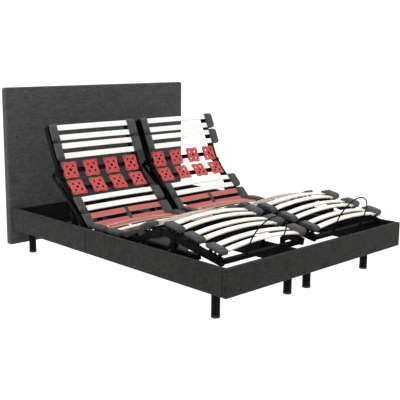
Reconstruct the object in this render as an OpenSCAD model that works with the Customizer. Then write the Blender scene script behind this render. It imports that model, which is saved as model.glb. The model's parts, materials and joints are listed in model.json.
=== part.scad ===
// Double adjustable bed base: an upholstered surround with a headboard, and inside it two
// independent slatted supports, each with a motorised back and leg section.
// Units are millimetres. X is across the bed, +Y towards the headboard, +Z up.
// The origin is on the floor, under the centre of the whole bed.
// Every slatted section is drawn flat in its own frame: the origin is its hinge axis, +Y runs
// away from the hinge, and the section is then turned to its resting angle.

/* [Slatted supports] */
// Width of one slatted support over its slat caps
support_w = 740; // [640:5:900]
// Free space between the two supports
centre_gap = 62; // [40:1:120]
// Free space between a support and the lining of the side rail
side_gap = 23; // [12:1:60]
// Length of the fixed seat section, hinge to hinge
seat_l = 384; // [372:1:440]
// Length of the back section, hinge to hinge
back_l = 421; // [412:1:480]
// Length of the head section
head_l = 374; // [374:1:440]
// Length of the thigh section, hinge to hinge
thigh_l = 356; // [340:1:420]
// Length of the calf section
calf_l = 489; // [487:1:560]
// Free space between the calf section and the foot rail, lying flat
foot_gap = 37; // [20:1:80]
// Free space between the head section and the headboard, lying flat
head_gap = 11; // [8:1:60]

/* [Resting angles] */
// Rise of the back section, as drawn
back_angle = 46.3; // [0:0.1:60]
// Extra rise of the head section over the back section when the back is at its drawn angle
head_angle = 20.2; // [0:0.1:30]
// Rise of the thigh section, as drawn
thigh_angle = 24.5; // [5:0.1:35]
// Fold of the calf section below the thigh section, as drawn
calf_angle = 35.4; // [10:0.1:45]
// Highest rise of the back section
back_max = 60; // [50:1:65]
// Highest rise of the thigh section
thigh_max = 35; // [30:1:38]

/* [Section frames] */
// Width of a frame tube
tube_w = 25; // [20:1:30]
// Height of a frame tube
tube_h = 40; // [34:1:44]
// Wall of every frame tube
tube_wall = 2; // [1.5:0.1:3]
// How far the slat caps overhang the frame tubes
cap_overhang = 18; // [10:1:24]
// Height from the top of a frame tube to the top of the slats
cap_rise = 37; // [36:1:40]
// Height of the slat plane over the back and head hinge axes
back_pivot_drop = 40; // [38:1:44]

/* [Slats] */
// Width of a slat
slat_w = 38; // [34:1:42]
// Thickness of a slat
slat_t = 8; // [6:0.5:10]
// Depth of a slat end in its cap
slat_seat = 28; // [20:1:36]
// Free play of a slat end in its cap, each way
slat_play = 0.3; // [0.2:0.1:0.6]
// Distance between the two slats of a pair
pair_pitch = 70; // [66:1:74]
// Bow of the head slats at mid width
head_bow = 3; // [2:1:10]
// Bow of the back slats at mid width
back_bow = 5; // [3:1:8]
// Bow of the seat slats at mid width
seat_bow = 12; // [6:1:20]
// Bow of the thigh and calf slats at mid width
leg_bow = 25; // [12:1:30]

/* [Slat caps] */
// Width of a slat cap, across the bed
cap_w = 66; // [58:1:74]
// Length of a twin slat cap
cap_l = 120; // [114:1:122]
// Thickness of a slat cap above the slat, where the slat enters
cap_over = 3; // [2:0.5:5]
// Thickness of a slat cap below the slat
cap_under = 3; // [3:0.5:5]
// Height of a slat cap's crown over the slats
cap_crown = 20; // [10:1:22]

/* [Contour pads] */
// Side of a contour pad
pad_size = 116; // [100:1:122]
// Distance between neighbouring pads in a row
pad_pitch = 176; // [150:1:180]
// Thickness of a contour pad
pad_t = 7; // [5:0.5:9]
// Depth of the pad tops below the slat plane
pad_drop = 25; // [22:1:28]
// Width of the bar that carries a row of pads
pad_bar_w = 28; // [20:1:36]
// Height of the bar that carries a row of pads
pad_bar_h = 20; // [16:1:22]

/* [Lift drive] */
// Diameter of the torque tubes
shaft_d = 34; // [28:1:38]
// Distance between the two torque tubes under the twin drive
drive_pitch = 590; // [560:5:620]
// Distance of the back torque tube beyond the back hinge
back_shaft_out = 115; // [105:1:125]
// Length of the back lift arms
back_arm = 170; // [160:1:180]
// Length of the leg lift arms
leg_arm = 110; // [104:1:118]
// Turn of the back torque tube for each degree of the back section
back_lift_ratio = 1.4; // [1.38:0.01:1.44]
// Turn of the leg torque tube for each degree of the thigh section
leg_lift_ratio = 1.68; // [1.66:0.01:1.72]
// Angle of the back lift arms above level when the back is flat
back_arm_flat = 3; // [2:0.5:5]
// Angle of the leg lift arms above level when the legs are flat
leg_arm_flat = 3; // [2:0.5:5]
// Diameter of the glide rollers on the arms
glide_d = 24; // [20:1:26]
// Width of the twin drive housing
drive_w = 116; // [90:2:150]

/* [Head links and calf stays] */
// Distance of the head link eye up the head section from its hinge
head_eye_up = 45; // [35:1:60]
// Distance of the head link eye behind the head hinge
head_eye_back = 74; // [66:1:76]
// Distance of the link foot from the back hinge, towards the seat
link_foot_back = 6; // [2:1:8]
// Height of the link foot over the back hinge
link_foot_up = 15; // [14:1:15]
// Distance of the calf stay eye along the calf section from the knee
stay_eye_out = 110; // [100:1:125]
// Distance of the calf stay eye below the calf tube centre
stay_eye_down = 49; // [44:1:54]
// Play of the open link and stay pivots
open_pivot_play = 5; // [4:0.5:7]

/* [Base frame and legs] */
// Height of the legs with their feet and top plates
leg_h = 180; // [120:5:250]
// Diameter of the legs
leg_d = 50; // [40:1:60]
// Sideways distance of the legs from the middle of their support
leg_x = 309; // [290:1:315]
// Distance of the foot legs from the end of the flat calf section
leg_foot_in = 121; // [60:1:200]
// Distance of the head legs from the end of the flat head section
leg_head_in = 61; // [45:1:120]
// Height of the lower frame tubes
lower_h = 25; // [20:1:30]
// Gap between the lower frame and the torque tubes, and over them
shaft_gap = 3; // [2:1:6]
// Gap between the torque tubes and the section frames lying flat
shaft_over = 10; // [8:1:16]
// Width and height of the upper beams
beam_s = 30; // [24:1:32]
// Length of the upper beams beyond the thigh hinge
beam_foot_l = 560; // [500:5:600]

/* [Surround] */
// Thickness of the upholstered rails
rail_t = 28; // [22:1:40]
// Height of the upholstered rails
rail_h = 157; // [140:1:180]
// Thickness of the black linings
lining_t = 8; // [5:1:12]
// Height of the centre boards
centre_board_h = 80; // [60:1:90]
// Thickness of each centre board
centre_board_t = 16; // [10:1:18]
// Thickness of the headboard
headboard_t = 60; // [40:1:100]
// Width of the headboard beyond the rails, each side
headboard_over = 19; // [0:1:100]
// Height of the headboard top above the floor
headboard_top = 1189; // [900:1:1400]
// Height of the headboard bottom above the floor
headboard_bottom = 59; // [20:1:120]
// Radius of the headboard's upper corners
headboard_r = 18; // [5:1:80]
// Distance of the board joint in a side rail from the foot end
rail_joint_y = 1213; // [900:1:1500]

/* [Mattress retainer] */
// Width of the retainer bow
bow_w = 290; // [220:1:340]
// Height of the retainer bow
bow_h = 212; // [160:1:240]
// Diameter of the retainer rod
bow_d = 8; // [6:1:12]
// Lean of the bow away from the mattress
bow_lean = 11; // [0:1:20]

/* [Hidden] */
$fn = 48;

// clearances
run_play = 0.06;        // radial play of a pin in its bore
weld = 1;               // how far a welded tube end reaches into the wall of its neighbour
side_play = 0.3;        // play beside a lug in its fork
seat_touch = 0.3;       // gap of a part that rests against another body

// across the bed
half_w = support_w / 2;
frame_x = half_w - cap_overhang;             // outer face of the section frames
tube_x = frame_x - tube_w / 2;               // middle of the frame tubes
cap_in = half_w - cap_w;                     // where a slat comes out of its cap
slat_half = cap_in + slat_seat;              // half length of a slat
support_x = (centre_gap + support_w) / 2;    // middle of each support
lining_x = support_x + half_w + side_gap;    // inner face of the linings
rail_in_x = lining_x + lining_t;
bed_half_w = rail_in_x + rail_t;

// heights
lower_top = leg_h + lower_h;
shaft_z = lower_top + shaft_gap + shaft_d / 2;
tube_bottom = shaft_z + shaft_d / 2 + shaft_over;
tube_top = tube_bottom + tube_h;
slat_z = tube_top + cap_rise;                // slat plane of the seat, and of all sections flat
back_pivot_z = slat_z - back_pivot_drop;
leg_pivot_drop = cap_rise + tube_h / 2;      // thigh and calf hinges are on the tube centre
leg_pivot_z = slat_z - leg_pivot_drop;
rail_z = slat_z - rail_h;

// along the bed
bed_l = rail_t + foot_gap + calf_l + thigh_l + seat_l + back_l + head_l + head_gap;
foot_y = -(bed_l + headboard_t) / 2;
headboard_y = foot_y + bed_l;
calf_end_y = foot_y + rail_t + foot_gap;
thigh_y = calf_end_y + calf_l + thigh_l;     // thigh hinge
back_y = thigh_y + seat_l;                   // back hinge
head_end_y = back_y + back_l + head_l;
leg_foot_y = calf_end_y + leg_foot_in;
leg_head_y = head_end_y - leg_head_in;

// places along the sections, from each section's own hinge
cap_end = 2;                                 // frame beyond the last cap
head_pairs = [head_l - 192, head_l - cap_end - cap_l / 2];
head_pad_y = 55;
back_pairs = [52, 184];
back_pad_y = back_l - 84;
seat_pairs = [108, seat_l - 120];            // from the back hinge, towards the thigh
thigh_pairs = [85, thigh_l - 106];
calf_mid_pair = calf_l - 234;
calf_pairs = [89, calf_mid_pair, calf_l - 5 - cap_l / 2];

// hinges
pin_r = 5;
ear_r = 14;                                  // round end of a lug or fork
ear_set = 22;                                // from the hinge axis to the end of the tube
fork_t = 4;
fork_l = 58;
lug_w = tube_w - 2 * side_play;

// ---- helpers -------------------------------------------------------------------------

// An outline in the Y-Z plane made thick along X, from x to x + t.
module yz(x, t) translate([x, 0, 0]) rotate([90, 0, 90]) linear_extrude(t) children();

// The same outline on both sides of the support, mirrored about its middle.
module yz_pair(x, t) {
    yz(x, t) children();
    yz(-x - t, t) children();
}

// A rectangle from its low corner, with rounded corners.
module round_rect(x, y, w, h, r) {
    translate([x + r, y]) square([w - 2 * r, h]);
    translate([x, y + r]) square([w, h - 2 * r]);
    for (i = [r, w - r], j = [r, h - r]) translate([x + i, y + j]) circle(r);
}

// A bar with round ends of radius r1 at the origin and r2 at [l, 0], sides tangent to both.
module bar_2d(l, r1, r2) {
    lean = asin((r1 - r2) / l);
    circle(r1);
    translate([l, 0]) circle(r2);
    polygon([
        [r1 * sin(lean), r1 * cos(lean)], [l + r2 * sin(lean), r2 * cos(lean)],
        [l + r2 * sin(lean), -r2 * cos(lean)], [r1 * sin(lean), -r1 * cos(lean)]
    ]);
}

// A rectangular tube along Y, open at its ends.
module tube_y(x, y, z, l, w, h) difference() {
    translate([x - w / 2, y, z]) cube([w, l, h]);
    translate([x - w / 2 + tube_wall, y - 1, z + tube_wall])
        cube([w - 2 * tube_wall, l + 2, h - 2 * tube_wall]);
}

// A rectangular tube across the support, closed where it meets the side tubes.
module tube_x_bar(y, z, half, w, h) difference() {
    translate([-half, y - w / 2, z]) cube([2 * half, w, h]);
    translate([-half - 1, y - w / 2 + tube_wall, z + tube_wall])
        cube([2 * half + 2, w - 2 * tube_wall, h - 2 * tube_wall]);
}

// A pin along X between two places, on both sides of the support.
module pin_pair(x1, x2, y, z, r) for (s = [-1, 1])
    translate([s > 0 ? x1 : -x2, y, z]) rotate([0, 90, 0]) cylinder(r = r, h = x2 - x1);

// ---- slats and caps ------------------------------------------------------------------

// Radius of a slat that rises by bow between its caps.
function bow_r(bow) = (cap_in * cap_in + bow * bow) / (2 * bow);
// Height of the slat top at x from the middle, over the slat plane.
function slat_top(bow, x) = sqrt(pow(bow_r(bow), 2) - x * x) - bow_r(bow) + bow;
// Slope of the slat in the middle of its seat in the cap.
seat_mid = cap_in + slat_seat / 2;
function cap_tilt(bow) = asin(seat_mid / bow_r(bow));

// One sprung slat across the support, centred at y, its ends cut square to its bow.
module slat(y, z, bow) let (r = bow_r(bow), reach = r + slat_t, end = asin(slat_half / r))
    translate([0, y + slat_w / 2, z + bow - r]) rotate([90, 0, 0])
        linear_extrude(slat_w) intersection() {
            difference() {
                circle(r, $fn = 1440);
                circle(r - slat_t, $fn = 1440);
            }
            polygon([[0, 0], [-reach * sin(end), reach * cos(end)], [0, 2 * reach],
                [reach * sin(end), reach * cos(end)]]);
        }

// A pair of slats centred at y.
module slat_pair(y, z, bow) for (s = [-1, 1]) slat(y + s * pair_pitch / 2, z, bow);

// Depth of a cap below the slat plane: the slat falls away towards its end in the pocket.
function cap_low(bow) = slat_t / cos(cap_tilt(bow)) - slat_top(bow, slat_half) + cap_under;

barrel_l = 16;                                      // rubber barrels under the caps
cap_foot = tube_x + barrel_l / 2 + 1 - cap_in;      // width of a cap's flat underside
cap_rise_h = cap_crown - cap_over;

// Radius of the arc that climbs from the lip to the crown over the given width.
function cap_arc(w) = (w * w + cap_rise_h * cap_rise_h) / (2 * cap_rise_h);

// The quarter of a cap's outline between its lip at x = 0 and its crown at x = w.
module cap_climb(w) intersection() {
    translate([w, cap_crown - cap_arc(w)]) circle(cap_arc(w));
    translate([0, cap_over]) square([w, cap_rise_h]);
}

// A cap seen along the bed: it climbs from the lip over the slat to a flat crown, rounds over
// at its outer edge and is cut away below, outside the frame tube.
module cap_across(low) {
    climb = 22;
    edge_r = 9;
    side_low = cap_crown - edge_r - 3;
    cap_climb(climb);
    polygon([
        [0, -low], [cap_foot, -low], [cap_w, side_low], [cap_w, cap_crown - edge_r],
        [cap_w - edge_r, cap_crown - edge_r], [cap_w - edge_r, cap_crown], [climb, cap_crown],
        [climb, cap_over], [0, cap_over]
    ]);
    translate([cap_w - edge_r, cap_crown - edge_r]) intersection() {
        circle(edge_r);
        square(edge_r);
    }
}

// A cap seen across the bed: a long arc at each end.
module cap_along(low) {
    climb = 34;
    translate([-cap_l / 2, -low]) square([cap_l, low + cap_over]);
    translate([climb - cap_l / 2, cap_over]) square([cap_l - 2 * climb, cap_rise_h]);
    for (s = [0, 1]) mirror([s, 0]) translate([-cap_l / 2, 0]) cap_climb(climb);
}

// A cap seen from above: small corners at the slats, large ones outside, a bulging outer edge.
module cap_above() {
    bulge = 5;
    bulge_r = (cap_l * cap_l / 4 + bulge * bulge) / (2 * bulge);
    intersection() {
        round_rect(0, -cap_l / 2, cap_w, cap_l, 5);
        round_rect(-cap_w, -cap_l / 2, 2 * cap_w, cap_l, 14);
        translate([cap_w - bulge_r, 0]) circle(bulge_r, $fn = 720);
    }
}

// A twin cap for the right-hand ends of a pair. The origin is on the slat top where the slats
// enter, X outwards.
module twin_cap_shape(bow) {
    low = cap_low(bow);
    end_play = 1;
    mouth = 2;
    difference() {
        intersection() {
            translate([0, 0, -low]) linear_extrude(low + cap_crown) cap_above();
            translate([0, cap_l / 2, 0]) rotate([90, 0, 0]) linear_extrude(cap_l) cap_across(low);
            rotate([90, 0, 90]) linear_extrude(cap_w) cap_along(low);
        }
        for (s = [-1, 1]) translate([slat_seat / 2, 0, slat_top(bow, seat_mid)])
            rotate([0, cap_tilt(bow), 0])
                translate([-slat_seat / 2 - mouth, s * pair_pitch / 2 - slat_w / 2 - slat_play, -slat_t - slat_play])
                    cube([slat_seat + mouth + end_play, slat_w + 2 * slat_play, slat_t + 2 * slat_play]);
    }
}

// The two twin caps of a slat pair centred at y.
module cap_pair(y, z, bow) for (s = [0, 1]) mirror([s, 0, 0])
    translate([cap_in, y, z]) twin_cap_shape(bow);

// The mount under each cap: a saddle on the frame tube, with two rubber barrels and the stud
// of the cap between them.
module cap_mounts(y, z, bow, from = -bed_l) {
    saddle_t = 3;
    saddle_end = 6;
    stud_r = 6;
    near = max(from, y - cap_l / 2 + saddle_end);
    barrel_r = (cap_rise - saddle_t - cap_low(bow) - seat_touch) / 2;
    for (s = [-1, 1]) {
        translate([s * tube_x - tube_w / 2 + 2, near, z - cap_rise])
            cube([tube_w - 4, y + cap_l / 2 - saddle_end - near, saddle_t]);
        translate([s * tube_x, y, z - cap_rise + saddle_t]) cylinder(r = stud_r, h = 2 * barrel_r);
        for (e = [-1, 1])
            translate([s * tube_x - barrel_l / 2, y + e * pair_pitch / 2, z - cap_rise + saddle_t + barrel_r])
                rotate([0, 90, 0]) cylinder(r = barrel_r, h = barrel_l);
    }
}

// ---- contour pads --------------------------------------------------------------------

// Outline of a pad: a rounded square with hollowed sides.
module pad_2d() {
    lobe_r = 13;
    hollow_r = pad_size;
    hollow_in = 4;
    at = pad_size / 2 - lobe_r;
    difference() {
        round_rect(-pad_size / 2, -pad_size / 2, pad_size, pad_size, lobe_r);
        for (a = [0, 90, 180, 270]) rotate(a)
            translate([pad_size / 2 - hollow_in + hollow_r, 0]) circle(hollow_r, $fn = 180);
        circle(10);
        for (a = [45, 135, 225, 315]) rotate(a) {
            translate([35, 0]) circle(8.5);
            translate([at * sqrt(2) + 1, 0]) circle(6);
        }
    }
}

// A row of four pads on their spring necks, standing on the bar.
module pad_row(y, z) {
    neck_h = bar_below() - pad_drop - pad_t;
    for (i = [-1.5, -0.5, 0.5, 1.5]) translate([i * pad_pitch, y, z - pad_drop - pad_t]) {
        linear_extrude(pad_t) pad_2d();
        translate([0, 0, -neck_h]) difference() {
            cylinder(r = 17, h = neck_h);
            translate([0, 0, -1]) cylinder(r = 9, h = neck_h + 2);
        }
    }
}

// Depth of the top of a pad bar below the slat plane.
function bar_below() = pad_drop + pad_t + 13;

// ---- hinge ends ----------------------------------------------------------------------

// The lug at the near end of a section's side tubes: the tube runs from z_low to z_low + tube_h.
module lugs(z_low) yz_pair(tube_x - lug_w / 2, lug_w) difference() {
    union() {
        circle(ear_r);
        polygon([[0, ear_r], [ear_set, z_low + tube_h], [ear_set, z_low], [0, -ear_r]]);
    }
    circle(pin_r + run_play);
}

// The fork at the far end of a section's side tubes, which ends at the hinge [y, z].
module forks(y, z, z_low) for (x = [frame_x, frame_x - tube_w - fork_t])
    yz_pair(x, fork_t) difference() {
        union() {
            translate([y, z]) circle(ear_r);
            polygon([
                [y, z + ear_r], [y - ear_set, z_low + tube_h], [y - fork_l, z_low + tube_h],
                [y - fork_l, z_low + 4], [y - ear_set, z_low + 4], [y, z - ear_r]
            ]);
        }
        translate([y, z]) circle(pin_r + run_play);
    }

// The pin of a hinge, with a head outside the fork.
module hinge_pin(y, z) {
    head_t = 3;
    pin_pair(frame_x - tube_w - fork_t - 2, frame_x + fork_t, y, z, pin_r);
    pin_pair(frame_x + fork_t, frame_x + fork_t + head_t, y, z, pin_r + 3.5);
}

// ---- lift geometry -------------------------------------------------------------------

// Torque tube centres, seen from each hinge with Y away from the seat.
back_shaft = [back_shaft_out, shaft_z - back_pivot_z];
leg_shaft_y = back_y + back_shaft_out - drive_pitch;
leg_shaft = [thigh_y - leg_shaft_y, shaft_z - leg_pivot_z];

function turned(p, a) = [p[0] * cos(a) - p[1] * sin(a), p[0] * sin(a) + p[1] * cos(a)];
// Centre of a glide roller in the frame of its section, when the section stands at angle b.
function glide_at(shaft, arm, flat, ratio, b) =
    turned(shaft + arm * [cos(flat + ratio * b), sin(flat + ratio * b)], -b);
// Point of the runner's edge that the glide roller touches at angle b.
function runner_at(shaft, arm, flat, ratio, b) = let (
    step = 0.5,
    p = glide_at(shaft, arm, flat, ratio, b),
    q = glide_at(shaft, arm, flat, ratio, b + step) - glide_at(shaft, arm, flat, ratio, b - step),
    n = [q[1], -q[0]] / norm(q),
    up = n[1] > 0 ? n : -n
) p + up * (glide_d / 2 + seat_touch);

// The runner under a side tube: its lower edge is the path that keeps the glide in touch
// while the torque tube turns in step with the section.
module runners(shaft, arm, flat, ratio, top, b_max) {
    runner_t = 8;
    steps = 12;
    edge = [for (i = [0:steps]) runner_at(shaft, arm, flat, ratio, -3 + (b_max + 6) * i / steps)];
    yz_pair(tube_x - runner_t / 2, runner_t)
        polygon(concat(edge, [[edge[steps][0], top], [edge[0][0], top]]));
}

// ---- section frames ------------------------------------------------------------------

back_low = back_pivot_drop - cap_rise - tube_h;     // underside of the back tubes
leg_low = -tube_h / 2;                              // underside of the thigh and calf tubes

module section_tubes(from, to, low) for (s = [-1, 1])
    tube_y(s * tube_x, from, low, to - from, tube_w, tube_h);

module pad_bar(y, z) tube_x_bar(y, z - bar_below() - pad_bar_h, tube_x - tube_w / 2, pad_bar_w, pad_bar_h);

cross_h = 20;
module cross_tube(y, low) tube_x_bar(y, low, tube_x - tube_w / 2, tube_w, cross_h);

module back_frame() color("#1c1c1e") {
    section_tubes(ear_set, back_l - ear_set, back_low);
    lugs(back_low);
    forks(back_l, 0, back_low);
    hinge_pin(back_l, 0);
    pad_bar(back_pad_y, back_pivot_drop);
    cross_tube(back_pairs[1] + 76, back_low);
    runners(back_shaft, back_arm, back_arm_flat, back_lift_ratio, back_low, back_max);
    for (p = back_pairs) cap_mounts(p, back_pivot_drop, back_bow, ear_set);
}

// The head section, with the ears behind it that the head links pull on.
module head_frame() color("#1c1c1e") {
    section_tubes(ear_set, head_l, back_low);
    lugs(back_low);
    pad_bar(head_pad_y, back_pivot_drop);
    cross_tube(head_l - tube_w / 2, back_low);
    for (p = head_pairs) cap_mounts(p, back_pivot_drop, head_bow);
    yz_pair(frame_x, fork_t) difference() {
        union() {
            polygon([
                [head_eye_up - 14, back_low + tube_h - 6], [head_eye_up + 34, back_low + tube_h - 6],
                [head_eye_up + 13, -head_eye_back], [head_eye_up - 13, -head_eye_back]
            ]);
            translate([head_eye_up, -head_eye_back]) circle(13);
        }
        translate([head_eye_up, -head_eye_back]) circle(pin_r + open_pivot_play);
    }
}

module thigh_frame() color("#1c1c1e") {
    section_tubes(ear_set, thigh_l - ear_set, leg_low);
    lugs(leg_low);
    forks(thigh_l, 0, leg_low);
    hinge_pin(thigh_l, 0);
    runners(leg_shaft, leg_arm, leg_arm_flat, leg_lift_ratio, leg_low, thigh_max);
    for (p = thigh_pairs) cap_mounts(p, leg_pivot_drop, leg_bow);
}

// The calf section: two side tubes, closed at the foot end and joined there by a lower square
// tube, with the stay brackets below them.
foot_tube_h = 25;
module calf_frame() color("#1c1c1e") {
    for (s = [-1, 1]) difference() {
        translate([s * tube_x - tube_w / 2, ear_set, leg_low])
            cube([tube_w, calf_l - ear_set, tube_h]);
        translate([s * tube_x - tube_w / 2 + tube_wall, ear_set - 1, leg_low + tube_wall])
            cube([tube_w - 2 * tube_wall, calf_l - ear_set + 1 - tube_wall, tube_h - 2 * tube_wall]);
    }
    tube_x_bar(calf_l - tube_w / 2, -foot_tube_h / 2, tube_x - tube_w / 2 + weld, tube_w, foot_tube_h);
    lugs(leg_low);
    for (p = calf_pairs) cap_mounts(p, leg_pivot_drop, leg_bow);
    stay_brackets();
}

// Perforated brackets on both faces of each calf tube. The stay hangs between the two plates.
bracket_w = 40;
bracket_down = 24;                                  // below the stay eye
module stay_brackets() for (x = [frame_x, frame_x - tube_w - fork_t])
    yz_pair(x, fork_t) difference() {
        round_rect(stay_eye_out - bracket_w / 2, -stay_eye_down - bracket_down, bracket_w,
            stay_eye_down + bracket_down + 12, 6);
        translate([stay_eye_out, -stay_eye_down]) circle(pin_r + open_pivot_play);
        for (z = [2, -12], i = [-1, 1]) translate([stay_eye_out + i * 12, z]) circle(3.5);
        for (z = [leg_low - 11, -stay_eye_down - bracket_down + 8.5], i = [-1, 1])
            translate([stay_eye_out + i * 12, z]) circle(5.5);
    }

// ---- firmness slider -----------------------------------------------------------------

slider_rest = 0;
slider_w = 26;
slider_play = 1.9;                                  // under the slats, which fall away to the sides
slider_wall = 3;
module firmness_slider() color("#4a4a4c") {
    reach = pair_pitch + slat_w + 2 * slider_wall + 2 * slider_play;
    inside = slat_t + slider_play + seat_touch;
    translate([slider_rest, back_pairs[0], back_pivot_drop + back_bow - slat_t - slider_play - slider_wall])
        difference() {
            translate([-slider_w / 2, 0, 0]) rotate([90, 0, 90]) linear_extrude(slider_w)
                round_rect(-reach / 2, 0, reach, inside + 2 * slider_wall, 4);
            for (s = [-1, 1])
                translate([-slider_w, s * pair_pitch / 2 - slat_w / 2 - slider_play, slider_wall])
                    cube([2 * slider_w, slat_w + 2 * slider_play, inside]);
        }
}

// ---- mattress retainer ---------------------------------------------------------------

module retainer_bow() color("#161618") {
    arc_r = bow_w / 2;
    foot_t = 4;
    stem = bow_h - arc_r;
    translate([0, calf_l - tube_w / 2, foot_tube_h / 2]) {
        for (s = [-1, 1]) translate([s * arc_r, 0, 0]) cylinder(r = 9, h = foot_t);
        translate([0, 0, foot_t - 1]) rotate([-bow_lean, 0, 0]) {
            for (s = [-1, 1]) translate([s * arc_r, 0, 0]) cylinder(r = bow_d / 2, h = stem);
            translate([0, 0, stem]) rotate([90, 0, 0])
                rotate_extrude(angle = 180) translate([arc_r, 0]) circle(bow_d / 2);
        }
    }
}

// ---- links, stays and lifts ----------------------------------------------------------

head_ratio = head_angle / back_angle;
calf_ratio = calf_angle / thigh_angle;

// Eye of the head link and of the calf stay, seen from the back and thigh hinges.
function head_eye(b) =
    turned([back_l, 0] + turned([head_eye_up, -head_eye_back], head_ratio * b), b);
function stay_eye(b) =
    turned([thigh_l, 0] + turned([stay_eye_out, -stay_eye_down], -calf_ratio * b), b);

link_foot = [-link_foot_back, link_foot_up];
// The stay foot is the centre of the circle through three places of the stay eye.
function middle_of(a, b, c) = let (
    u = b - a, v = c - a, d = 2 * (u[0] * v[1] - u[1] * v[0]),
    uu = u * u, vv = v * v
) a + [v[1] * uu - u[1] * vv, u[0] * vv - v[0] * uu] / d;
stay_foot = middle_of(stay_eye(0), stay_eye(thigh_max / 2), stay_eye(thigh_max));

// Mean length of a link, and its angle when it turns in step with its section.
function link_len(foot, e) = let (l = [for (p = e) norm(p - foot)]) (max(l) + min(l)) / 2;
function link_angle(foot, e, b, b_max) = let (
    a = [for (p = e) atan2(p[1] - foot[1], p[0] - foot[0])],
    n = len(a) - 1,
    sag = [for (i = [0:n]) a[i] - a[0] - (a[n] - a[0]) * i / n]
) a[0] + (max(sag) + min(sag)) / 2 + (a[n] - a[0]) * b / b_max;

head_eyes = [for (i = [0:6]) head_eye(back_max * i / 6)];
stay_eyes = [for (i = [0:6]) stay_eye(thigh_max * i / 6)];
link_t = 4;
stay_t = 12;
head_r = 8;                                         // bolt heads
washer_r = pin_r + open_pivot_play + 2.5;

// Head links: bars outside the back tubes, from the seat frame to the head ears. Drawn from
// the link foot, with Y along the bar.
module head_links() color("#232326") {
    x = frame_x + fork_t + side_play;
    l = link_len(link_foot, head_eyes);
    yz_pair(x, link_t) difference() {
        bar_2d(l, 9, 13);
        circle(pin_r + run_play);
    }
    pin_pair(frame_x - side_play - 3, x, l, 0, pin_r);
    pin_pair(frame_x - side_play - 3, frame_x - side_play, l, 0, washer_r);
    pin_pair(x + link_t, x + link_t + 4, l, 0, head_r);
}

// Calf stays: bars between the bracket plates, from the lower frame to the calf section.
module calf_stays() color("#232326") {
    l = link_len(stay_foot, stay_eyes);
    x_in = frame_x - tube_w - fork_t;
    yz_pair(tube_x - stay_t / 2, stay_t) difference() {
        bar_2d(l, 11, 11);
        circle(pin_r + run_play);
    }
    pin_pair(x_in, frame_x + fork_t, l, 0, pin_r);
    pin_pair(x_in - side_play - 2, x_in - side_play, l, 0, washer_r);
    pin_pair(frame_x + fork_t + side_play, frame_x + fork_t + side_play + 3, l, 0, washer_r);
    pin_pair(x_in - side_play, x_in, l, 0, pin_r);
    pin_pair(frame_x + fork_t, frame_x + fork_t + side_play, l, 0, pin_r);
}

arm_t = 5;
glide_w = 20;
shaft_half = tube_x + glide_w / 2 + arm_t;

// A torque tube with a forked lift arm under each side tube. Drawn along Y from the tube.
module lift(arm) color("#202023") {
    difference() {
        union() {
            translate([-shaft_half, 0, 0]) rotate([0, 90, 0]) cylinder(r = shaft_d / 2, h = 2 * shaft_half);
            for (x = [tube_x - glide_w / 2 - arm_t, tube_x + glide_w / 2])
                yz_pair(x, arm_t) bar_2d(arm, shaft_d / 2 + 4, glide_d / 2 - 1);
            pin_pair(tube_x - glide_w / 2, tube_x + glide_w / 2, arm, 0, glide_d / 2);
        }
        translate([-shaft_half - 1, 0, 0]) rotate([0, 90, 0])
            cylinder(r = shaft_d / 2 - 3, h = 2 * shaft_half + 2);
    }
}

// ---- fixed frame ---------------------------------------------------------------------

lower_x = leg_x;
lower_out = lower_x + 12.5;
leg_cross_w = 40;
drive_top = tube_bottom + 5;
bearing_w = 6;
foot_block_w = tube_x - stay_t / 2 - side_play - lower_out;
at_link_foot = [back_y + link_foot[0], back_pivot_z + link_foot[1]];
at_stay_foot = [thigh_y - stay_foot[0], leg_pivot_z + stay_foot[1]];
back_shaft_y = back_y + back_shaft_out;
seat_posts = [thigh_y + 72, back_y - 72];
beam_x = 274;                                       // middle of the upper beams
beam_head_y = seat_posts[1] + 25;                   // they end short of the first back slats
beam_end = thigh_y - beam_foot_l;

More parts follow.
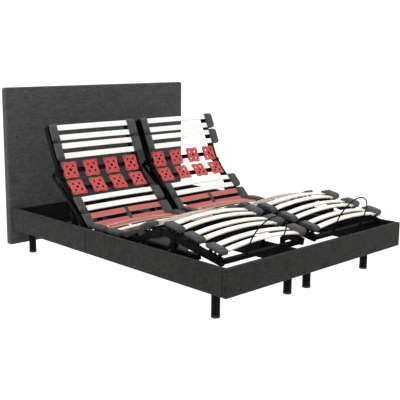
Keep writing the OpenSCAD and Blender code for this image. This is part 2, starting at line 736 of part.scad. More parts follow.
// The fixed steel frame of one support. inner is the distance to the centre board,
// outer the distance to the lining; the outer end points along +X here.
module base_frame(inner, outer) color("#18181a") {
    lower_w = 25;
    // lower side tubes between the leg cross tubes
    for (s = [-1, 1]) tube_y(s * lower_x, leg_foot_y + leg_cross_w / 2 - weld, leg_h,
        leg_head_y - leg_foot_y - leg_cross_w + 2 * weld, lower_w, lower_h);
    for (y = [leg_foot_y, leg_head_y]) difference() {
        translate([-inner, y - leg_cross_w / 2, leg_h]) cube([inner + outer, leg_cross_w, lower_h]);
        translate([-inner - 1, y - leg_cross_w / 2 + tube_wall, leg_h + tube_wall])
            cube([inner + outer + 2, leg_cross_w - 2 * tube_wall, lower_h - 2 * tube_wall]);
    }
    // seat tubes with a fork at each end
    difference() {
        union() {
            for (s = [-1, 1])
                tube_y(s * tube_x, thigh_y + ear_set, tube_bottom, seat_l - 2 * ear_set, tube_w, tube_h);
            forks(back_y, back_pivot_z, tube_bottom);
            mirror([0, 1, 0]) forks(-thigh_y, leg_pivot_z, tube_bottom);
            yz_pair(frame_x, fork_t) translate(at_link_foot) circle(11);
        }
        pin_pair(frame_x - 1, frame_x + fork_t + 1, at_link_foot[0], at_link_foot[1], pin_r + run_play);
        pin_pair(frame_x - tube_w - fork_t - 1, frame_x + fork_t + 1, back_y, back_pivot_z, pin_r + run_play);
    }
    // posts and cross tubes of the seat
    for (y = seat_posts) {
        for (s = [-1, 1]) {
            translate([s > 0 ? lower_x - 12.5 : -frame_x, y - 15, lower_top]) cube([frame_x - lower_x + 12.5, 30, 10]);
            translate([s * tube_x - tube_w / 2, y - 15, lower_top + 10])
                cube([tube_w, 30, tube_bottom - lower_top - 10]);
        }
        tube_x_bar(y, drive_top, tube_x - tube_w / 2, 25, tube_top - 10 - drive_top);
    }
    // upper beams on the cross tubes, and their posts at the foot end
    for (s = [-1, 1]) {
        tube_y(s * beam_x, beam_end, tube_top - 10, beam_head_y - beam_end, beam_s, beam_s);
        translate([s > 0 ? beam_x - 15 : -lower_out, beam_end + 15, tube_top - 35])
            cube([lower_out - beam_x + 15, 25, 25]);
        translate([s * lower_x - 12.5, beam_end + 15, lower_top]) cube([25, 25, tube_top - 35 - lower_top]);
    }
    // bearing plates of the torque tubes
    for (y = [back_shaft_y, leg_shaft_y]) yz_pair(lower_x - 9, bearing_w) translate([y, shaft_z])
        difference() {
            union() {
                circle(shaft_d / 2 + 8);
                translate([-shaft_d / 2 - 8, lower_top - shaft_z]) square([shaft_d + 16, shaft_z - lower_top]);
            }
            circle(shaft_d / 2 + run_play);
        }
    // feet of the calf stays
    yz_pair(lower_out, foot_block_w) translate(at_stay_foot) difference() {
        union() {
            circle(13);
            translate([-20, leg_h - at_stay_foot[1]]) square([40, at_stay_foot[1] - leg_h]);
        }
        circle(pin_r + run_play);
    }
}

// The twin drive hangs under the seat and is hooked over both torque tubes.
module twin_drive() color("#2b2b2e") {
    end = 40;
    low = leg_h - 6;
    difference() {
        union() {
            yz(-drive_w / 2, drive_w)
                round_rect(leg_shaft_y - end, low + 8, drive_pitch + 2 * end, drive_top - low - 8, 14);
            translate([-drive_w / 2 + 12, leg_shaft_y + 60, low]) cube([drive_w - 24, drive_pitch - 120, 10]);
            for (y = [leg_shaft_y, back_shaft_y]) yz(-drive_w / 2 - 4, drive_w + 8)
                translate([y, shaft_z]) circle(shaft_d / 2 + 10);
        }
        for (y = [leg_shaft_y, back_shaft_y]) translate([-drive_w, y, shaft_z]) rotate([0, 90, 0])
            cylinder(r = shaft_d / 2 + run_play, h = 2 * drive_w);
        for (y = [-0.30, -0.1, 0.1, 0.3]) translate([0, (leg_shaft_y + back_shaft_y) / 2 + y * drive_pitch, drive_top])
            rotate([90, 0, 90]) translate([0, 0, -drive_w]) linear_extrude(2 * drive_w) circle(3);
    }
}

module hinge_pins_of() {
    x = frame_x + fork_t + side_play;
    pin_pair(frame_x - tube_w - fork_t, frame_x + fork_t, back_y, back_pivot_z, pin_r);
    hinge_pin(thigh_y, leg_pivot_z);
    pin_pair(frame_x, x + link_t + side_play, at_link_foot[0], at_link_foot[1], pin_r);
    pin_pair(x + link_t + side_play, x + link_t + side_play + 3, at_link_foot[0], at_link_foot[1], head_r);
    pin_pair(lower_out, tube_x + stay_t / 2 + side_play, at_stay_foot[0], at_stay_foot[1], pin_r);
    pin_pair(tube_x + stay_t / 2 + side_play, tube_x + stay_t / 2 + side_play + 3,
        at_stay_foot[0], at_stay_foot[1], pin_r + 4);
}

// ---- surround ------------------------------------------------------------------------

fabric = "#3e3e41";

module headboard() color(fabric) translate([0, headboard_y + headboard_t, 0]) rotate([90, 0, 0])
    linear_extrude(headboard_t) {
        w = bed_half_w + headboard_over;
        translate([-w, headboard_bottom]) square([2 * w, headboard_top - headboard_bottom - headboard_r]);
        translate([-w + headboard_r, headboard_bottom]) square([2 * (w - headboard_r), headboard_top - headboard_bottom]);
        for (s = [-1, 1]) translate([s * (w - headboard_r), headboard_top - headboard_r]) circle(headboard_r);
    }

// A side rail: two boards end to end, drawn for the right-hand side.
module side_rail() {
    joint = foot_y + rail_joint_y;
    seam = 1;
    translate([rail_in_x, foot_y + rail_t, rail_z]) cube([rail_t, joint - foot_y - rail_t - seam / 2, rail_h]);
    translate([rail_in_x, joint + seam / 2, rail_z]) cube([rail_t, headboard_y - joint - seam / 2, rail_h]);
}

module foot_rail() color(fabric) translate([-bed_half_w, foot_y, rail_z]) cube([2 * bed_half_w, rail_t, rail_h]);

lining_z = rail_z + 3;
lining_h = rail_h - 6;
module rail_linings() color("#141415") {
    for (s = [0, 1]) mirror([s, 0, 0]) translate([lining_x, foot_y + rail_t, lining_z])
        cube([lining_t, headboard_y - foot_y - rail_t, lining_h]);
    translate([-lining_x, foot_y + rail_t, lining_z]) cube([2 * lining_x, lining_t, lining_h]);
}

board_t = 7;
module head_crossboard() color("#141415") translate([-lining_x, headboard_y - board_t, lining_z])
    cube([2 * lining_x, board_t, lining_h - 10]);

module centre_boards() color("#151516") for (s = [0, 1]) mirror([s, 0, 0])
    translate([0, foot_y + rail_t + lining_t, lining_z])
        cube([centre_board_t, headboard_y - board_t - foot_y - rail_t - lining_t, centre_board_h]);

// Steel angles in the corners, and straps over the board joints.
module joint_brackets() color("#303034") for (s = [0, 1]) mirror([s, 0, 0]) {
    t = 3;
    inset = 30;                                     // above and below
    angle_l = 50;
    angle_w = 22;
    strap_l = 140;
    low = lining_z + inset;
    h = lining_h - 2 * inset;
    foot_in = foot_y + rail_t + lining_t;
    head_in = headboard_y - board_t;
    translate([lining_x - t, foot_in, low]) cube([t, angle_l, h]);
    translate([lining_x - angle_w, foot_in, low]) cube([angle_w, t, h]);
    translate([lining_x - t, head_in - angle_l, low]) cube([t, angle_l, h]);
    translate([lining_x - angle_w, head_in - t, low]) cube([angle_w, t, h]);
    translate([lining_x - t, foot_y + rail_joint_y - strap_l / 2, low]) cube([t, strap_l, h]);
}

foot_pad_h = 12;
module each_leg() for (c = [-1, 1], s = [-1, 1], y = [leg_foot_y, leg_head_y])
    translate([c * support_x + s * leg_x, y, 0]) children();

module legs() color("#161617") each_leg() difference() {
    union() {
        translate([0, 0, foot_pad_h]) cylinder(r = leg_d / 2, h = leg_h - foot_pad_h);
        translate([-leg_d / 2 - 10, -leg_cross_w / 2, leg_h - 4]) cube([leg_d + 20, leg_cross_w, 4]);
    }
    translate([0, 0, foot_pad_h - 1]) cylinder(r = leg_d / 2 - 2, h = leg_h - foot_pad_h - 10);
}

module leg_feet() color("#0f0f10") each_leg() {
    cylinder(r = leg_d / 2 + 1, h = foot_pad_h);
    translate([0, 0, foot_pad_h]) cylinder(r = leg_d / 2 - 2.1, h = 16);
}

// ---- slats of the sections -----------------------------------------------------------

white = "#f3f0ea";
red = "#d6504c";
grey = "#68686b";

module caps_of(pairs, z, bow) color(grey) for (p = pairs) cap_pair(p, z, bow);
module slats_of(places, z, bow) for (p = places) slat(p, z, bow);
function slats_at(pairs) = [for (p = pairs, s = [-1, 1]) p + s * pair_pitch / 2];

seat_y = [for (p = seat_pairs) back_y - p];
seat_slats = [seat_y[0] + pair_pitch / 2, seat_y[0] - pair_pitch / 2,
    seat_y[1] + pair_pitch / 2, seat_y[1] - pair_pitch / 2];

// ---- placing -------------------------------------------------------------------------

// Frames of the moving sections of one support, as drawn.
module on_support(side) translate([side * support_x, 0, 0]) children();
module on_both() for (side = [-1, 1]) on_support(side) children();
module at_back() translate([0, back_y, back_pivot_z]) rotate([back_angle, 0, 0]) children();
module at_head() at_back() translate([0, back_l, 0]) rotate([head_angle, 0, 0]) children();
module at_thigh() translate([0, thigh_y, leg_pivot_z]) rotate([0, 0, 180])
    rotate([thigh_angle, 0, 0]) children();
module at_calf() at_thigh() translate([0, thigh_l, 0]) rotate([-calf_angle, 0, 0]) children();
module at_back_lift() translate([0, back_shaft_y, shaft_z])
    rotate([back_arm_flat + back_lift_ratio * back_angle, 0, 0]) children();
module at_leg_lift() translate([0, leg_shaft_y, shaft_z]) rotate([0, 0, 180])
    rotate([leg_arm_flat + leg_lift_ratio * thigh_angle, 0, 0]) children();
module at_head_link() translate([0, at_link_foot[0], at_link_foot[1]])
    rotate([link_angle(link_foot, head_eyes, back_angle, back_max), 0, 0]) children();
module at_calf_stay() translate([0, at_stay_foot[0], at_stay_foot[1]]) rotate([0, 0, 180])
    rotate([link_angle(stay_foot, stay_eyes, thigh_angle, thigh_max), 0, 0]) children();

module left_side_rail() color(fabric) mirror([1, 0, 0]) side_rail();
module right_side_rail() color(fabric) side_rail();
module left_base_frame() on_support(-1) mirror([1, 0, 0])
    base_frame(support_x - centre_board_t, lining_x - support_x);
module right_base_frame() on_support(1) base_frame(support_x - centre_board_t, lining_x - support_x);
module left_twin_drive() on_support(-1) twin_drive();
module right_twin_drive() on_support(1) twin_drive();
module hinge_pins() color("#9a9a9e") on_both() hinge_pins_of();
module seat_caps() on_both() {
    caps_of(seat_y, slat_z, seat_bow);
    color("#1c1c1e") for (y = seat_y) cap_mounts(y, slat_z, seat_bow);
}
module seat_red_slats() color(red) on_both() slats_of([seat_slats[0], seat_slats[1], seat_slats[3]], slat_z, seat_bow);
module seat_white_slats() color(white) on_both() slats_of([seat_slats[2]], slat_z, seat_bow);

module left_back_frame() on_support(-1) at_back() back_frame();
module left_back_caps() on_support(-1) at_back() caps_of(back_pairs, back_pivot_drop, back_bow);
module left_back_white_slats() color(white) on_support(-1) at_back()
    slats_of(slats_at([back_pairs[1]]), back_pivot_drop, back_bow);
module left_back_red_slats() color(red) on_support(-1) at_back()
    slats_of(slats_at([back_pairs[0]]), back_pivot_drop, back_bow);
module left_back_pads() color(red) on_support(-1) at_back() pad_row(back_pad_y, back_pivot_drop);
module left_firmness_slider() on_support(-1) at_back() firmness_slider();
module left_head_frame() on_support(-1) at_head() head_frame();
module left_head_caps() on_support(-1) at_head() caps_of(head_pairs, back_pivot_drop, head_bow);
module left_head_slats() color(white) on_support(-1) at_head()
    slats_of(slats_at(head_pairs), back_pivot_drop, head_bow);
module left_head_pads() color(red) on_support(-1) at_head() pad_row(head_pad_y, back_pivot_drop);
module left_thigh_frame() on_support(-1) at_thigh() thigh_frame();
module left_thigh_caps() on_support(-1) at_thigh() caps_of(thigh_pairs, leg_pivot_drop, leg_bow);
module left_thigh_slats() color(white) on_support(-1) at_thigh()
    slats_of(slats_at(thigh_pairs), leg_pivot_drop, leg_bow);
module left_calf_frame() on_support(-1) at_calf() calf_frame();
module left_calf_caps() on_support(-1) at_calf() caps_of(calf_pairs, leg_pivot_drop, leg_bow);
module left_calf_slats() color(white) on_support(-1) at_calf()
    slats_of(slats_at(calf_pairs), leg_pivot_drop, leg_bow);
module left_retainer_bow() on_support(-1) at_calf() retainer_bow();
module left_back_lift() on_support(-1) at_back_lift() lift(back_arm);
module left_leg_lift() on_support(-1) at_leg_lift() lift(leg_arm);
module left_head_links() on_support(-1) at_head_link() head_links();
module left_calf_stays() on_support(-1) at_calf_stay() calf_stays();

module right_back_frame() on_support(1) at_back() back_frame();
module right_back_caps() on_support(1) at_back() caps_of(back_pairs, back_pivot_drop, back_bow);
module right_back_white_slats() color(white) on_support(1) at_back()
    slats_of(slats_at([back_pairs[1]]), back_pivot_drop, back_bow);
module right_back_red_slats() color(red) on_support(1) at_back()
    slats_of(slats_at([back_pairs[0]]), back_pivot_drop, back_bow);
module right_back_pads() color(red) on_support(1) at_back() pad_row(back_pad_y, back_pivot_drop);
module right_firmness_slider() on_support(1) at_back() firmness_slider();
module right_head_frame() on_support(1) at_head() head_frame();
module right_head_caps() on_support(1) at_head() caps_of(head_pairs, back_pivot_drop, head_bow);
module right_head_slats() color(white) on_support(1) at_head()
    slats_of(slats_at(head_pairs), back_pivot_drop, head_bow);
module right_head_pads() color(red) on_support(1) at_head() pad_row(head_pad_y, back_pivot_drop);
module right_thigh_frame() on_support(1) at_thigh() thigh_frame();
module right_thigh_caps() on_support(1) at_thigh() caps_of(thigh_pairs, leg_pivot_drop, leg_bow);
module right_thigh_slats() color(white) on_support(1) at_thigh()
    slats_of(slats_at(thigh_pairs), leg_pivot_drop, leg_bow);
module right_calf_frame() on_support(1) at_calf() calf_frame();
module right_calf_caps() on_support(1) at_calf() caps_of(calf_pairs, leg_pivot_drop, leg_bow);
module right_calf_slats() color(white) on_support(1) at_calf()
    slats_of(slats_at(calf_pairs), leg_pivot_drop, leg_bow);
module right_retainer_bow() on_support(1) at_calf() retainer_bow();
module right_back_lift() on_support(1) at_back_lift() lift(back_arm);
module right_leg_lift() on_support(1) at_leg_lift() lift(leg_arm);
module right_head_links() on_support(1) at_head_link() head_links();
module right_calf_stays() on_support(1) at_calf_stay() calf_stays();

headboard();
left_side_rail();
right_side_rail();
foot_rail();
rail_linings();
centre_boards();
head_crossboard();
joint_brackets();
legs();
leg_feet();
left_base_frame();
right_base_frame();
left_twin_drive();
right_twin_drive();
hinge_pins();
seat_caps();
seat_red_slats();
seat_white_slats();
left_back_frame();
left_back_caps();
left_back_white_slats();
left_back_red_slats();
left_back_pads();
left_firmness_slider();
left_head_frame();
left_head_caps();
left_head_slats();
left_head_pads();
left_thigh_frame();
left_thigh_caps();
left_thigh_slats();
left_calf_frame();
left_calf_caps();
left_calf_slats();
left_retainer_bow();
left_back_lift();
left_leg_lift();
left_head_links();
left_calf_stays();
right_back_frame();
right_back_caps();
right_back_white_slats();
right_back_red_slats();
right_back_pads();
right_firmness_slider();
right_head_frame();
right_head_caps();
right_head_slats();
right_head_pads();
right_thigh_frame();
right_thigh_caps();
right_thigh_slats();
right_calf_frame();
right_calf_caps();
right_calf_slats();
right_retainer_bow();
right_back_lift();
right_leg_lift();
right_head_links();
right_calf_stays();
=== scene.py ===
"""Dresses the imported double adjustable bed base: upholstery, laminated slats, moulded caps and
pads, coated steel, and a pale studio."""

import json
import math

import bmesh
import bpy
from bpy.props import FloatProperty, FloatVectorProperty, PointerProperty
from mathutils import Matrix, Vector


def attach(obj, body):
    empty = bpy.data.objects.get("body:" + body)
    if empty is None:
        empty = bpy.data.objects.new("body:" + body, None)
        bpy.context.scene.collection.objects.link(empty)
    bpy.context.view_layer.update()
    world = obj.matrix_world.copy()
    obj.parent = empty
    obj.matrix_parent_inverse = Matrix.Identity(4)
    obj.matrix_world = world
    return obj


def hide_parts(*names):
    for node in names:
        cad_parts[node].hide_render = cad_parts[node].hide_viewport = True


bl_info = {
    "name": "Adjustable bed base dressing",
    "version": (1, 0, 0),
    "blender": (4, 5, 0),
    "location": "3D View > Sidebar > Bed base",
    "description": "Upholstery, slats, caps, pads and steel of a double adjustable bed base",
    "category": "Object",
}

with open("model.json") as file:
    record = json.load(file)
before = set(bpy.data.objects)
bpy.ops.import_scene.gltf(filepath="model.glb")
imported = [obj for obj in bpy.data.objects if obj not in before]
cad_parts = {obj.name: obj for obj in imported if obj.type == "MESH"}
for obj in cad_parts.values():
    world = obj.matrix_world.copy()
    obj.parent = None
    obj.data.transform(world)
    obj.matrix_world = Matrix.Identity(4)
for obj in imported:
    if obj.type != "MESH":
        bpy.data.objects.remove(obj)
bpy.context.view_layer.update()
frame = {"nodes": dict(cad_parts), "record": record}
SIDES = ("left", "right")
MM = 0.001
BODY_OF_NODE = {
    node: body
    for body, nodes in frame["record"]["behaviour"]["bodies"].items()
    for node in nodes
}

# CAD meshes: vertices closer than this are one, and faces flatter than this are one face.
MERGE_DISTANCE = 0.01 * MM
FLAT_ANGLE = math.radians(0.2)
# Edges sharper than the first angle are rounded, those sharper than the second stay hard.
SHARP_ANGLE = math.radians(35)
HARD_ANGLE = math.radians(40)
# A slat's bowed sides are whole faces with many corners; its other faces have fewer.
CUT_SIDE_CORNERS = 7
# The walls of a pad's holes lie nearer its middle than this, and its outer edge lies further.
HOLE_REACH = 46 * MM
# A face of a pad is a wall when less than this share of its normal is along the pad's own.
WALL_TILT = 0.5


# ---- sizes and colours a user would change ---------------------------------------------


def colour_setting(name, description, red, green, blue):
    """An opaque colour that a user can change."""
    return FloatVectorProperty(
        name=name, description=description, subtype="COLOR", size=4, default=(red, green, blue, 1)
    )


def length_setting(name, description, millimetres):
    """A length that a user can change, with its default in millimetres."""
    return FloatProperty(
        name=name, description=description, default=millimetres * MM, unit="LENGTH"
    )


def power_setting(name, watts):
    """The power of a light, which a user can change."""
    return FloatProperty(
        name=name, description=f"Power of the {name.lower()}", default=watts, unit="POWER"
    )


class UpholsterySettings(bpy.types.PropertyGroup):
    fabric: colour_setting(
        "Fabric", "Colour of the woven cover of the rails", 0.0168, 0.0168, 0.0155
    )
    headboard: colour_setting(
        "Headboard fabric", "Colour of the woven cover of the headboard", 0.050, 0.0515, 0.0515
    )
    board: colour_setting("Inner boards", "Colour of the linings and boards", 0.004, 0.004, 0.0045)
    rail_round: length_setting("Rail edge", "Radius of the wrapped edges of the rails", 6)
    headboard_round: length_setting(
        "Headboard edge", "Radius of the wrapped edges of the headboard", 14
    )
    thread: length_setting("Thread pitch", "Distance between the threads of the weave", 4)


class SlatSettings(bpy.types.PropertyGroup):
    white: colour_setting("White foil", "Colour of the plain slats", 0.88, 0.868, 0.85)
    red: colour_setting("Red foil", "Colour of the firm lumbar slats", 0.51, 0.115, 0.105)
    ply: colour_setting("Laminated edge", "Colour of the cut beech edges", 0.60, 0.47, 0.34)
    edge: length_setting("Slat edge", "Width of the eased edges", 1.2)


class MouldingSettings(bpy.types.PropertyGroup):
    cap: colour_setting("Slat caps", "Colour of the slat caps", 0.027, 0.029, 0.0285)
    pad: colour_setting("Contour pads", "Colour of the contour pads", 0.52, 0.046, 0.042)
    slider: colour_setting("Sliders", "Colour of the firmness sliders", 0.022, 0.022, 0.023)
    drive: colour_setting("Drives", "Colour of the drive housings", 0.035, 0.035, 0.038)
    glide: colour_setting("Foot glides", "Colour of the glides under the legs", 0.01, 0.01, 0.011)
    cap_edge: length_setting("Cap edge", "Radius of the cap edges", 2.4)
    pad_edge: length_setting("Pad edge", "Radius of the pad edges", 2)
    # The sloped rims round the pad holes take the near-black painted shade of the hole walls.
    countersink: length_setting("Pad hole rim", "Width of the sloped rim round each pad hole", 3)


class SteelSettings(bpy.types.PropertyGroup):
    coat: colour_setting("Powder coat", "Colour of the coated steel", 0.0025, 0.0025, 0.0028)
    legs: colour_setting("Leg coat", "Colour of the legs", 0.0025, 0.0025, 0.0025)
    brackets: colour_setting("Brackets", "Colour of the joint brackets", 0.02, 0.02, 0.021)
    plate: colour_setting("Zinc plate", "Colour of the hinge pins", 0.55, 0.55, 0.57)


class StudioSettings(bpy.types.PropertyGroup):
    floor: colour_setting("Floor", "Colour of the studio floor", 0.2, 0.2, 0.2)
    key: power_setting("Key light", 48)
    fill: power_setting("Fill light", 34)
    top: power_setting("Top light", 28)


# ---- materials -------------------------------------------------------------------------


def new_material(name, colour, roughness, **inputs):
    """A Principled material with its nodes; inputs are further shader sockets by label."""
    material = bpy.data.materials.new(name)
    material.use_nodes = True
    shader = material.node_tree.nodes["Principled BSDF"]
    shader.inputs["Base Color"].default_value = list(colour)
    shader.inputs["Roughness"].default_value = roughness
    for label, value in inputs.items():
        shader.inputs[label.replace("_", " ")].default_value = value
    return material, shader


def add_bump(material, shader, height, strength, distance):
    """Feeds a height socket into the shader's normal."""
    bump = material.node_tree.nodes.new("ShaderNodeBump")
    bump.inputs["Strength"].default_value = strength
    bump.inputs["Distance"].default_value = distance
    material.node_tree.links.new(height, bump.inputs["Height"])
    material.node_tree.links.new(bump.outputs["Normal"], shader.inputs["Normal"])


def object_noise(material, scale, detail, stretch=(1, 1, 1)):
    """The value socket of a noise on Object coordinates, stretched along the axes."""
    tree = material.node_tree
    place = tree.nodes.new("ShaderNodeTexCoord")
    mapping = tree.nodes.new("ShaderNodeMapping")
    mapping.inputs["Scale"].default_value = stretch
    noise = tree.nodes.new("ShaderNodeTexNoise")
    noise.inputs["Scale"].default_value = scale
    noise.inputs["Detail"].default_value = detail
    tree.links.new(place.outputs["Object"], mapping.inputs["Vector"])
    tree.links.new(mapping.outputs["Vector"], noise.inputs["Vector"])
    return noise.outputs["Fac"]


def blend(material, first, second, share):
    """Mixes two value sockets; share is the part of the second."""
    tree = material.node_tree
    mix = tree.nodes.new("ShaderNodeMix")
    mix.inputs[0].default_value = share
    tree.links.new(first, mix.inputs[2])
    tree.links.new(second, mix.inputs[3])
    return mix.outputs[0]


def scaled(colour, by):
    """The colour made darker or lighter by a factor."""
    return [min(1.0, channel * by) for channel in colour[:3]] + [1]


def tinted(material, shader, factor, colour, dark, light, span=(0.35, 0.65)):
    """Drives the base colour by a value socket, from dark to light times the colour."""
    tree = material.node_tree
    ramp = tree.nodes.new("ShaderNodeValToRGB")
    for element, position, by in zip(ramp.color_ramp.elements, span, (dark, light)):
        element.position = position
        element.color = scaled(colour, by)
    tree.links.new(factor, ramp.inputs["Fac"])
    tree.links.new(ramp.outputs["Color"], shader.inputs["Base Color"])


def woven_fabric(name, colour, thread, dark=0.4, light=1.75):
    """A linen-like melange: threads of uneven tone cross, upright ones and level ones."""
    material, shader = new_material(
        name, colour, 0.95, Sheen_Weight=0.06, Specular_IOR_Level=0.15
    )
    # Repeats of the noise in a metre, across the threads and along them.
    across = 1 / thread
    along = 22
    level = object_noise(material, scale=1, detail=2, stretch=(along, along, across))
    upright = object_noise(material, scale=1, detail=2, stretch=(across, across, along))
    slub = object_noise(material, scale=14, detail=3)
    mixed = blend(material, level, upright, share=0.5)
    mixed = blend(material, mixed, slub, share=0.1)
    tinted(material, shader, mixed, colour, dark, light, span=(0.38, 0.62))
    add_bump(material, shader, mixed, strength=0.5, distance=0.8 * MM)
    return material


def foil(name, colour, roughness):
    """Printed foil with a faint grain along the slat."""
    material, shader = new_material(name, colour, roughness, Specular_IOR_Level=0.4)
    grain = object_noise(material, scale=30, detail=4, stretch=(0.05, 1, 1))
    tinted(material, shader, grain, colour, dark=0.94, light=1.04)
    return material


def laminated_edge(colour):
    """Thin glued beech layers along the slat's cut edges."""
    material, shader = new_material("Laminated beech edge", colour, 0.6)
    grain = object_noise(material, scale=60, detail=5, stretch=(0.04, 6, 6))
    tinted(material, shader, grain, colour, dark=0.62, light=1.5)
    return material


def moulded(name, colour, roughness, grain=0.08, gloss=0.45):
    """Moulded plastic; grain is the strength of its fine bump."""
    material, shader = new_material(name, colour, roughness, Specular_IOR_Level=gloss)
    texture = object_noise(material, scale=900, detail=2)
    add_bump(material, shader, texture, strength=grain, distance=0.3 * MM)
    return material


def powder_coat(name, colour, roughness=0.5):
    """Dull powder-coated steel."""
    material, shader = new_material(name, colour, roughness, Specular_IOR_Level=0.05)
    texture = object_noise(material, scale=700, detail=2)
    add_bump(material, shader, texture, strength=0.06, distance=0.2 * MM)
    return material


# ---- shaping ---------------------------------------------------------------------------


def merged_copy(node):
    """The node's mesh as a bmesh with its flat faces whole again."""
    bm = bmesh.new()
    bm.from_mesh(frame["nodes"][node].data)
    bmesh.ops.remove_doubles(bm, verts=bm.verts, dist=MERGE_DISTANCE)
    bmesh.ops.dissolve_limit(bm, angle_limit=FLAT_ANGLE, verts=bm.verts, edges=bm.edges)
    bm.normal_update()
    return bm


def sharp_edges(bm):
    """The edges where two faces meet at more than the sharp angle."""
    return [e for e in bm.edges if len(e.link_faces) == 2 and e.calc_face_angle(0) > SHARP_ANGLE]


def ease(bm, edges, width, segments=2, material=-1):
    """Rounds the given edges; -1 leaves the new faces the material of their neighbours."""
    bmesh.ops.bevel(
        bm, geom=edges, offset=width, offset_type="OFFSET", affect="EDGES", segments=segments,
        profile=0.5, material=material, clamp_overlap=True, loop_slide=True,
    )


def loose_parts(bm):
    """Yields the vertices of each loose part."""
    left = set(bm.verts)
    while left:
        part, front = set(), [left.pop()]
        while front:
            vert = front.pop()
            part.add(vert)
            near = [e.other_vert(vert) for e in vert.link_edges if e.other_vert(vert) in left]
            left.difference_update(near)
            front.extend(near)
        yield part


def mark_shade_painted_walls(bm):
    """Gives the second material, a painted shade, to the walls of the holes near each loose part's
    middle.
    """
    for part in loose_parts(bm):
        faces = {f for vert in part for f in vert.link_faces}
        flat = max(faces, key=lambda f: f.calc_area())
        up = flat.normal
        middle = flat.calc_center_bounds()
        for f in faces:
            away = f.calc_center_median() - middle
            away -= away.dot(up) * up
            if abs(f.normal.dot(up)) < WALL_TILT and away.length < HOLE_REACH:
                f.material_index = 1


def place_piece(bm, name, materials, node):
    """Makes the finished piece of a CAD node: it rides on the node's body and stands for it."""
    mesh = bpy.data.meshes.new(name)
    bm.to_mesh(mesh)
    bm.free()
    for material in materials:
        mesh.materials.append(material)
    piece = bpy.data.objects.new(name, mesh)
    bpy.context.scene.collection.objects.link(piece)
    mesh.shade_smooth()
    weighted = piece.modifiers.new("Weighted normals", "WEIGHTED_NORMAL")
    weighted.keep_sharp = True
    mesh.set_sharp_from_angle(angle=HARD_ANGLE)
    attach(piece, BODY_OF_NODE[node])
    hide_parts(node)
    return piece


def paint(nodes, material):
    """Gives a material to CAD nodes that are shown as they are."""
    for node in nodes:
        mesh = frame["nodes"][node].data
        mesh.materials.clear()
        mesh.materials.append(material)


def both_sides(*kinds):
    """The node names of the given kinds on the left and the right support."""
    return [f"{side}_{kind}" for side in SIDES for kind in kinds]


# ---- operators -------------------------------------------------------------------------


class BED_OT_upholstery(bpy.types.Operator):
    """Wraps the headboard and the rails in woven fabric"""

    bl_idname = "bed.upholstery"
    bl_label = "Upholstery"

    def execute(self, context):
        settings = context.scene.bed_upholstery
        rail_fabric = woven_fabric("Rail weave", settings.fabric, settings.thread)
        board_fabric = woven_fabric(
            "Headboard weave", settings.headboard, settings.thread, dark=0.57, light=1.5
        )
        for node in ("left_side_rail", "right_side_rail", "foot_rail"):
            bm = merged_copy(node)
            ease(bm, sharp_edges(bm), settings.rail_round, segments=3)
            place_piece(bm, f"{node}_cover", [rail_fabric], node)
        bm = merged_copy("headboard")
        ease(bm, sharp_edges(bm), settings.headboard_round, segments=4)
        cover = place_piece(bm, "headboard_cover", [board_fabric], "headboard")
        return {"FINISHED"}


class BED_OT_boards(bpy.types.Operator):
    """Finishes the linings and boards inside the surround"""

    bl_idname = "bed.boards"
    bl_label = "Inner boards"

    def execute(self, context):
        colour = context.scene.bed_upholstery.board
        black, _ = new_material("Black board", colour, roughness=0.8, Specular_IOR_Level=0.1)
        paint(("rail_linings", "centre_boards", "head_crossboard"), black)
        return {"FINISHED"}


class BED_OT_slats(bpy.types.Operator):
    """Makes the foil-covered laminated slats with their cut edges"""

    bl_idname = "bed.slats"
    bl_label = "Slats"

    def execute(self, context):
        settings = context.scene.bed_slats
        white = foil("White foil", settings.white, roughness=0.35)
        red = foil("Red foil", settings.red, roughness=0.4)
        cut = laminated_edge(settings.ply)
        whites = ["seat_white_slats"]
        whites += both_sides("back_white_slats", "head_slats", "thigh_slats", "calf_slats")
        reds = ["seat_red_slats"] + both_sides("back_red_slats")
        for nodes, face in ((whites, white), (reds, red)):
            for node in nodes:
                bm = merged_copy(node)
                for f in bm.faces:
                    f.material_index = 1 if len(f.verts) >= CUT_SIDE_CORNERS else 0
                ease(bm, sharp_edges(bm), settings.edge)
                place_piece(bm, f"{node}_foiled", [face, cut], node)
        return {"FINISHED"}


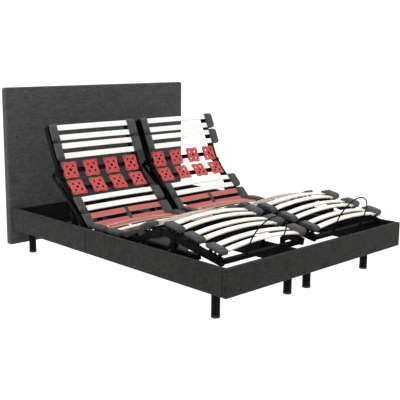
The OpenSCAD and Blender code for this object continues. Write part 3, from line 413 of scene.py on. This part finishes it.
class BED_OT_mouldings(bpy.types.Operator):
    """Finishes the slat caps, contour pads, sliders, drives and foot glides"""

    bl_idname = "bed.mouldings"
    bl_label = "Caps and pads"

    def execute(self, context):
        settings = context.scene.bed_mouldings
        cap = moulded("Grey cap", settings.cap, roughness=0.48, gloss=0.5)
        pad = moulded("Red pad", settings.pad, roughness=0.35, grain=0.04, gloss=0.55)
        caps = ["seat_caps"] + both_sides("back_caps", "head_caps", "thigh_caps", "calf_caps")
        for node in caps:
            self.round_off(node, cap, settings.cap_edge)
        # A near-black copy of the pad colour: painted shade on the walls and sloped rims of the
        # pad holes.
        shade_painted_hole = moulded("Pad hole", scaled(settings.pad, by=0.03), roughness=0.6)
        for node in both_sides("back_pads", "head_pads"):
            self.finish_pads(node, pad, shade_painted_hole, settings)
        slider = moulded("Slider grey", settings.slider, roughness=0.5)
        for node in both_sides("firmness_slider"):
            self.round_off(node, slider, settings.cap_edge)
        drive = moulded("Drive housing", settings.drive, roughness=0.55)
        paint(both_sides("twin_drive"), drive)
        paint(("leg_feet",), moulded("Foot glide", settings.glide, roughness=0.6))
        return {"FINISHED"}

    def round_off(self, node, material, width):
        """Rounds every sharp edge of the node's mouldings."""
        bm = merged_copy(node)
        ease(bm, sharp_edges(bm), width)
        place_piece(bm, f"{node}_moulded", [material], node)

    def finish_pads(self, node, pad, shade_painted_hole, settings):
        """Slopes the rims of the holes first, giving them the painted shade of the hole walls, and
        then rounds the pads' own edges.
        """
        bm = merged_copy(node)
        mark_shade_painted_walls(bm)
        rims = [e for e in sharp_edges(bm) if {f.material_index for f in e.link_faces} == {0, 1}]
        ease(bm, rims, settings.countersink, segments=1, material=1)
        outer = [e for e in sharp_edges(bm) if not any(f.material_index for f in e.link_faces)]
        ease(bm, outer, settings.pad_edge)
        place_piece(bm, f"{node}_moulded", [pad, shade_painted_hole], node)


class BED_OT_steel(bpy.types.Operator):
    """Coats the section frames, the base frames and the legs, and plates the pins"""

    bl_idname = "bed.steel"
    bl_label = "Steel"

    def execute(self, context):
        settings = context.scene.bed_steel
        coat = powder_coat("Black coat", settings.coat)
        paint(both_sides("base_frame", "back_lift", "leg_lift"), coat)
        paint(both_sides("back_frame", "head_frame", "thigh_frame", "calf_frame"), coat)
        paint(both_sides("head_links", "calf_stays", "retainer_bow"), coat)
        paint(("legs",), powder_coat("Leg coat", settings.legs, roughness=0.4))
        paint(("joint_brackets",), powder_coat("Grey coat", settings.brackets))
        zinc, _ = new_material("Zinc plate", settings.plate, roughness=0.3, Metallic=1.0)
        paint(("hinge_pins",), zinc)
        return {"FINISHED"}


class BED_OT_studio(bpy.types.Operator):
    """Lays the pale floor and sets the lights and the camera"""

    bl_idname = "bed.studio"
    bl_label = "Studio"

    # Half the side of the floor, in metres.
    FLOOR_REACH = 30
    # Name, setting with its power, place, target and size of each soft light, in metres.
    LIGHTS = (
        ("Key light", "key", (-3.7, 1.5, 1.8), (-0.6, 0.7, 0.4), 2.6),
        ("Fill light", "fill", (0.5, -4.5, 2.6), (0, 0.4, 0.6), 3.0),
        ("Top light", "top", (0, 0.5, 4.5), (0, 0, 0.3), 3.5),
    )
    # Sensor and lens in millimetres, the shift in sensor widths, the place in metres.
    SENSOR_WIDTH = 36
    LENS = 66.53
    LENS_SHIFT = (0.1128, -0.0459)
    CAMERA_PLACE = (-3.504, -3.564, 1.400)
    # Degrees: tilt up from looking straight down, roll and heading.
    CAMERA_TURN = (90 - 9.59, 0.12, -41.44)

    def execute(self, context):
        settings = context.scene.bed_studio
        self.floor(settings)
        self.world()
        for name, power, place, target, size in self.LIGHTS:
            self.light(name, place, target, size, getattr(settings, power))
        self.camera()
        context.scene.view_settings.view_transform = "Standard"
        return {"FINISHED"}

    def floor(self, settings):
        bm = bmesh.new()
        bmesh.ops.create_grid(bm, x_segments=1, y_segments=1, size=self.FLOOR_REACH)
        mesh = bpy.data.meshes.new("floor")
        bm.to_mesh(mesh)
        bm.free()
        material, _ = new_material(
            "Studio floor", settings.floor, roughness=0.9, Emission_Color=(1, 1, 1, 1),
            Emission_Strength=1.0, Specular_IOR_Level=0.0,
        )
        mesh.materials.append(material)
        floor = bpy.data.objects.new("floor", mesh)
        bpy.context.scene.collection.objects.link(floor)

    def world(self):
        world = bpy.data.worlds.new("Studio white")
        world.use_nodes = True
        sky = world.node_tree.nodes["Background"]
        sky.inputs["Color"].default_value = (1, 1, 1, 1)
        sky.inputs["Strength"].default_value = 1.0
        bpy.context.scene.world = world

    def light(self, name, place, target, size, power):
        data = bpy.data.lights.new(name, "AREA")
        data.shape = "SQUARE"
        data.size = size
        data.energy = power
        lamp = bpy.data.objects.new(name, data)
        lamp.location = place
        aim = Vector(target) - Vector(place)
        lamp.rotation_euler = aim.to_track_quat("-Z", "Y").to_euler()
        bpy.context.scene.collection.objects.link(lamp)

    def camera(self):
        data = bpy.data.cameras.new("camera")
        data.sensor_width = self.SENSOR_WIDTH
        data.lens = self.LENS
        data.shift_x, data.shift_y = self.LENS_SHIFT
        camera = bpy.data.objects.new("camera", data)
        camera.location = self.CAMERA_PLACE
        camera.rotation_euler = [math.radians(angle) for angle in self.CAMERA_TURN]
        bpy.context.scene.collection.objects.link(camera)
        bpy.context.scene.camera = camera


class BED_PT_dressing(bpy.types.Panel):
    """Lists the steps that dress the bed base"""

    bl_idname = "BED_PT_dressing"
    bl_label = "Bed base"
    bl_space_type = "VIEW_3D"
    bl_region_type = "UI"
    bl_category = "Bed base"

    def draw(self, context):
        for operator, group, names in STEPS:
            box = self.layout.box()
            box.operator(operator)
            for name in names:
                box.prop(getattr(context.scene, group), name)


# Each step's operator, its settings and the settings that its box shows.
STEPS = (
    ("bed.studio", "bed_studio", ("floor", "key", "fill", "top")),
    (
        "bed.upholstery",
        "bed_upholstery",
        ("fabric", "headboard", "rail_round", "headboard_round", "thread"),
    ),
    ("bed.boards", "bed_upholstery", ("board",)),
    ("bed.slats", "bed_slats", ("white", "red", "ply", "edge")),
    (
        "bed.mouldings",
        "bed_mouldings",
        ("cap", "pad", "slider", "drive", "glide", "cap_edge", "pad_edge", "countersink"),
    ),
    ("bed.steel", "bed_steel", ("coat", "legs", "brackets", "plate")),
)
GROUPS = {
    "bed_upholstery": UpholsterySettings,
    "bed_slats": SlatSettings,
    "bed_mouldings": MouldingSettings,
    "bed_steel": SteelSettings,
    "bed_studio": StudioSettings,
}
CLASSES = tuple(GROUPS.values()) + (
    BED_OT_upholstery,
    BED_OT_boards,
    BED_OT_slats,
    BED_OT_mouldings,
    BED_OT_steel,
    BED_OT_studio,
    BED_PT_dressing,
)


def register():
    for cls in CLASSES:
        bpy.utils.register_class(cls)
    for name, group in GROUPS.items():
        setattr(bpy.types.Scene, name, PointerProperty(type=group))


def unregister():
    for name in GROUPS:
        delattr(bpy.types.Scene, name)
    for cls in reversed(CLASSES):
        bpy.utils.unregister_class(cls)


def main():
    """Runs every step in order."""
    register()
    for operator, _, _ in STEPS:
        family, step = operator.split(".")
        getattr(getattr(bpy.ops, family), step)()


if __name__ == "__main__":
    main()
